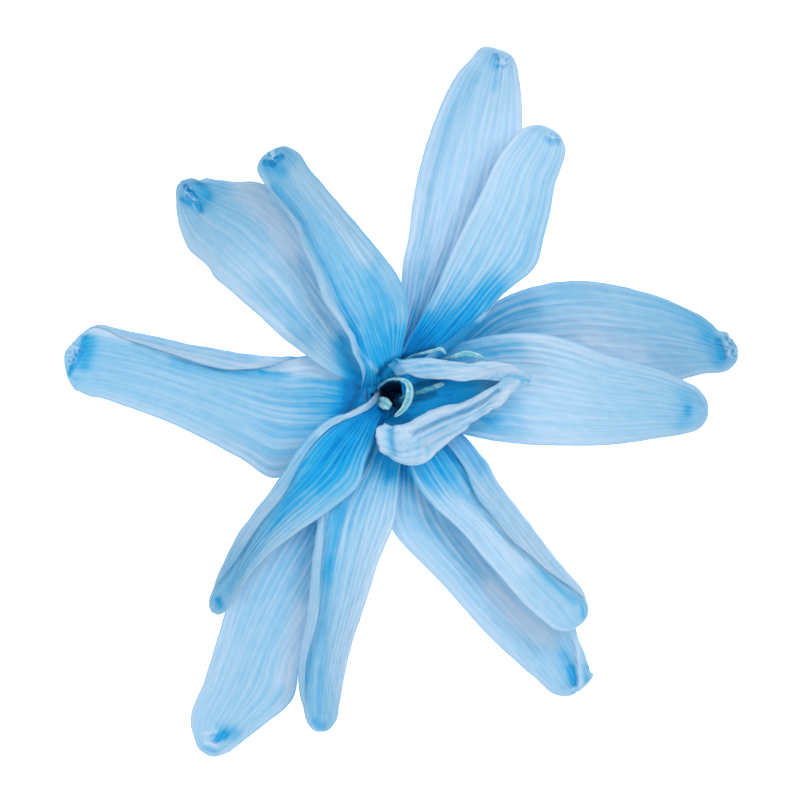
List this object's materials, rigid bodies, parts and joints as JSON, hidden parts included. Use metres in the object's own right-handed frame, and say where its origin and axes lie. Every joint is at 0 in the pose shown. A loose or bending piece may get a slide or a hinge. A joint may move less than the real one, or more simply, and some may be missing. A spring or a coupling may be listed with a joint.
{
  "type": "preserved tuberose flower",
  "caption": "Dyed preserved double tuberose flower with two whorls of spread tepals round a boat-shaped inner petal, cut off below the face and lying face up.",
  "frame": {"origin": "on the resting surface, below the middle of the flower's outline", "axes": "+Z out of the flower's face, +Y along its longer side, towards the top back tepal, +X towards the right back tepal"},
  "size_m": [0.0543, 0.0567, 0.0119],
  "materials": {
    "back_tepal": "matte dyed petal",
    "front_tepal": "matte dyed petal",
    "inner_petal": "matte dyed petal",
    "tube": "matte dyed stem tissue",
    "stamen": "matte dyed stamen"
  },
  "bodies": {
    "root": {"floral_tube": "tube", "petal_back_top": "back_tepal", "petal_back_right": "back_tepal", "petal_back_lower_right": "back_tepal", "petal_back_lower_left": "back_tepal", "petal_back_left": "back_tepal", "petal_back_upper_left": "back_tepal", "petal_front_top": "front_tepal", "petal_front_right": "front_tepal", "petal_front_lower_right": "front_tepal", "petal_front_bottom": "front_tepal", "petal_front_lower_left": "front_tepal", "petal_front_upper_left": "front_tepal", "inner_petal": "inner_petal", "stamen_upper_left": "stamen", "stamen_upper_right": "stamen", "stamen_inner": "stamen", "staminode_loop": "stamen", "staminode_scale": "stamen"}
  },
  "joints": []
}
